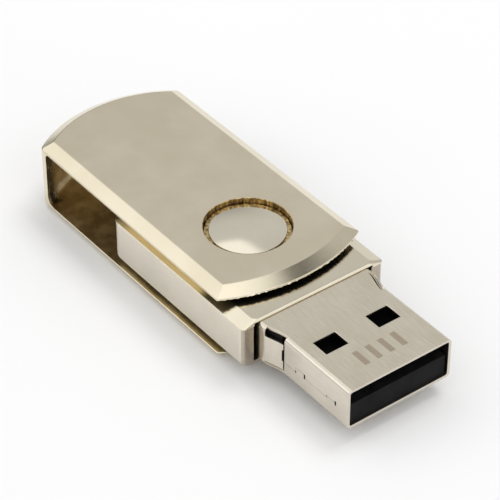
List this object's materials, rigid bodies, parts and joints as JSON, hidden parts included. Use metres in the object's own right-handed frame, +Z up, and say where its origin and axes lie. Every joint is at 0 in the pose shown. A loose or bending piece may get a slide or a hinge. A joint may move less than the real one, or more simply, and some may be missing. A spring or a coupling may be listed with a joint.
{
  "type": "usb flash drive",
  "caption": "USB type A flash drive: a thin metal housing with its plug exposed and a U-shaped metal cover that swivels round it on a domed pivot.",
  "frame": {"origin": "centre of the drive's footprint at rest, on the surface it lies on (the underside of the swivel cover)", "axes": "+X towards the tip of the USB plug, +Y to the left looking towards the tip, +Z up through the pivot"},
  "size_m": [0.048, 0.0166, 0.008],
  "materials": {
    "nickel_cast": "nickel-plated casting, warm satin top faces and bright bevels",
    "nickel_sheet": "nickel-plated sheet, smooth and bright",
    "nickel_dome": "polished nickel",
    "plug_steel": "nickel-plated folded steel sheet with a fine grain",
    "pivot_brass": "dulled brass",
    "black_plastic": "matte moulded black",
    "gold_contact": "gold-plated",
    "green_board": "green solder mask",
    "black_package": "moulded epoxy",
    "silver_can": "plated metal lid",
    "ceramic": "fired ceramic with tinned ends",
    "resistor_film": "black glaze with tinned ends"
  },
  "bodies": {
    "drive": {"lower_housing": "nickel_sheet", "upper_housing": "nickel_sheet", "top_pivot_bush": "pivot_brass", "bottom_pivot_bush": "pivot_brass", "top_pivot_rivet": "nickel_dome", "bottom_pivot_rivet": "nickel_dome", "plug_shell": "plug_steel", "plug_tongue": "black_plastic", "contact_power": "gold_contact", "contact_data_minus": "gold_contact", "contact_data_plus": "gold_contact", "contact_ground": "gold_contact", "lower_carrier": "black_plastic", "upper_carrier": "black_plastic", "circuit_board": "green_board", "flash_memory": "black_package", "controller_chip": "black_package", "crystal": "silver_can", "capacitor_1": "ceramic", "capacitor_2": "ceramic", "capacitor_3": "ceramic", "capacitor_4": "ceramic", "resistor_1": "resistor_film", "resistor_2": "resistor_film", "resistor_3": "resistor_film", "resistor_4": "resistor_film"},
    "cover": {"swivel_cover": "nickel_cast"}
  },
  "joints": [
    {"name": "cover_swivel", "type": "hinge", "parent": "drive", "child": "cover", "pos_m": [0.00165, 0, 0.004], "axis": [0, 0, 1], "continuous": true}
  ]
}
